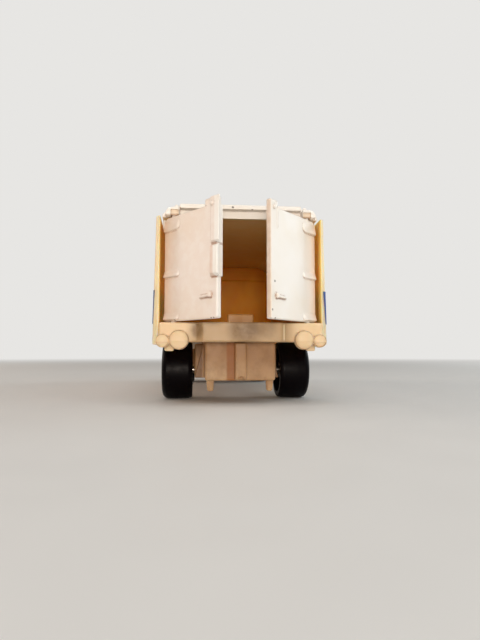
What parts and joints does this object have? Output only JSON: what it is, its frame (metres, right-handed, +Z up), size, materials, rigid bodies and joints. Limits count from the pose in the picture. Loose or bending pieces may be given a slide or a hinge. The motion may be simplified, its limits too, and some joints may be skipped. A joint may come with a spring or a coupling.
{
  "type": "die-cast toy truck",
  "caption": "Die-cast toy box truck: hinged rear doors open onto a hollow cargo hold between plastic side boards, with a glazed cab, a plastic chassis and free-rolling wheels.",
  "frame": {"origin": "on the floor, under the middle of the truck's bounding box with the rear doors half open", "axes": "+X to the truck's right side, +Y forward towards the cab, +Z up"},
  "size_m": [0.046, 0.1346, 0.0526],
  "materials": {
    "white_enamel": "chipped white enamel on die-cast zinc",
    "cream_plastic": "cream plastic yellowed with age",
    "amber_plastic": "amber translucent plastic",
    "black_plastic": "gloss black plastic",
    "steel": "bare steel wire and rivets",
    "plated_plastic": "vacuum-plated plastic, worn",
    "clear_plastic": "clear plastic, slightly yellowed",
    "blue_band": "thin blue printed band"
  },
  "bodies": {
    "truck": {"chassis_base": "cream_plastic", "axle_keeper_front": "cream_plastic", "axle_keeper_rear": "cream_plastic", "box_bulkhead": "amber_plastic", "box_floor": "amber_plastic", "box_roof": "white_enamel", "cab_glazing": "clear_plastic", "cab_interior": "amber_plastic", "cab_shell": "white_enamel", "front_bumper": "cream_plastic", "front_grille": "plated_plastic", "rear_bumper": "cream_plastic", "rivet_front": "steel", "rivet_rear": "steel", "side_band_left": "blue_band", "side_band_right": "blue_band", "side_board_left": "cream_plastic", "side_board_right": "cream_plastic", "steering_wheel": "black_plastic"},
    "left_door": {"door_left": "white_enamel"},
    "right_door": {"door_right": "white_enamel"},
    "front_wheelset": {"axle_front": "steel", "wheel_front_left": "black_plastic", "wheel_front_right": "black_plastic", "hub_cap_front_left": "plated_plastic", "hub_cap_front_right": "plated_plastic"},
    "rear_wheelset": {"axle_rear": "steel", "wheel_rear_left": "black_plastic", "wheel_rear_right": "black_plastic", "hub_cap_rear_left": "plated_plastic", "hub_cap_rear_right": "plated_plastic"}
  },
  "joints": [
    {"name": "left_door_hinge", "type": "hinge", "parent": "truck", "child": "left_door", "pos_m": [-0.0174, -0.0521, 0.0353], "axis": [0, 0, -1], "range_deg": [-50, 60]},
    {"name": "right_door_hinge", "type": "hinge", "parent": "truck", "child": "right_door", "pos_m": [0.0174, -0.0521, 0.0353], "axis": [0, 0, 1], "range_deg": [-46, 64]},
    {"name": "front_axle_spin", "type": "hinge", "parent": "truck", "child": "front_wheelset", "pos_m": [0, 0.05115, 0.0085], "axis": [1, 0, 0], "continuous": true},
    {"name": "rear_axle_spin", "type": "hinge", "parent": "truck", "child": "rear_wheelset", "pos_m": [0, -0.02985, 0.0085], "axis": [1, 0, 0], "continuous": true}
  ]
}
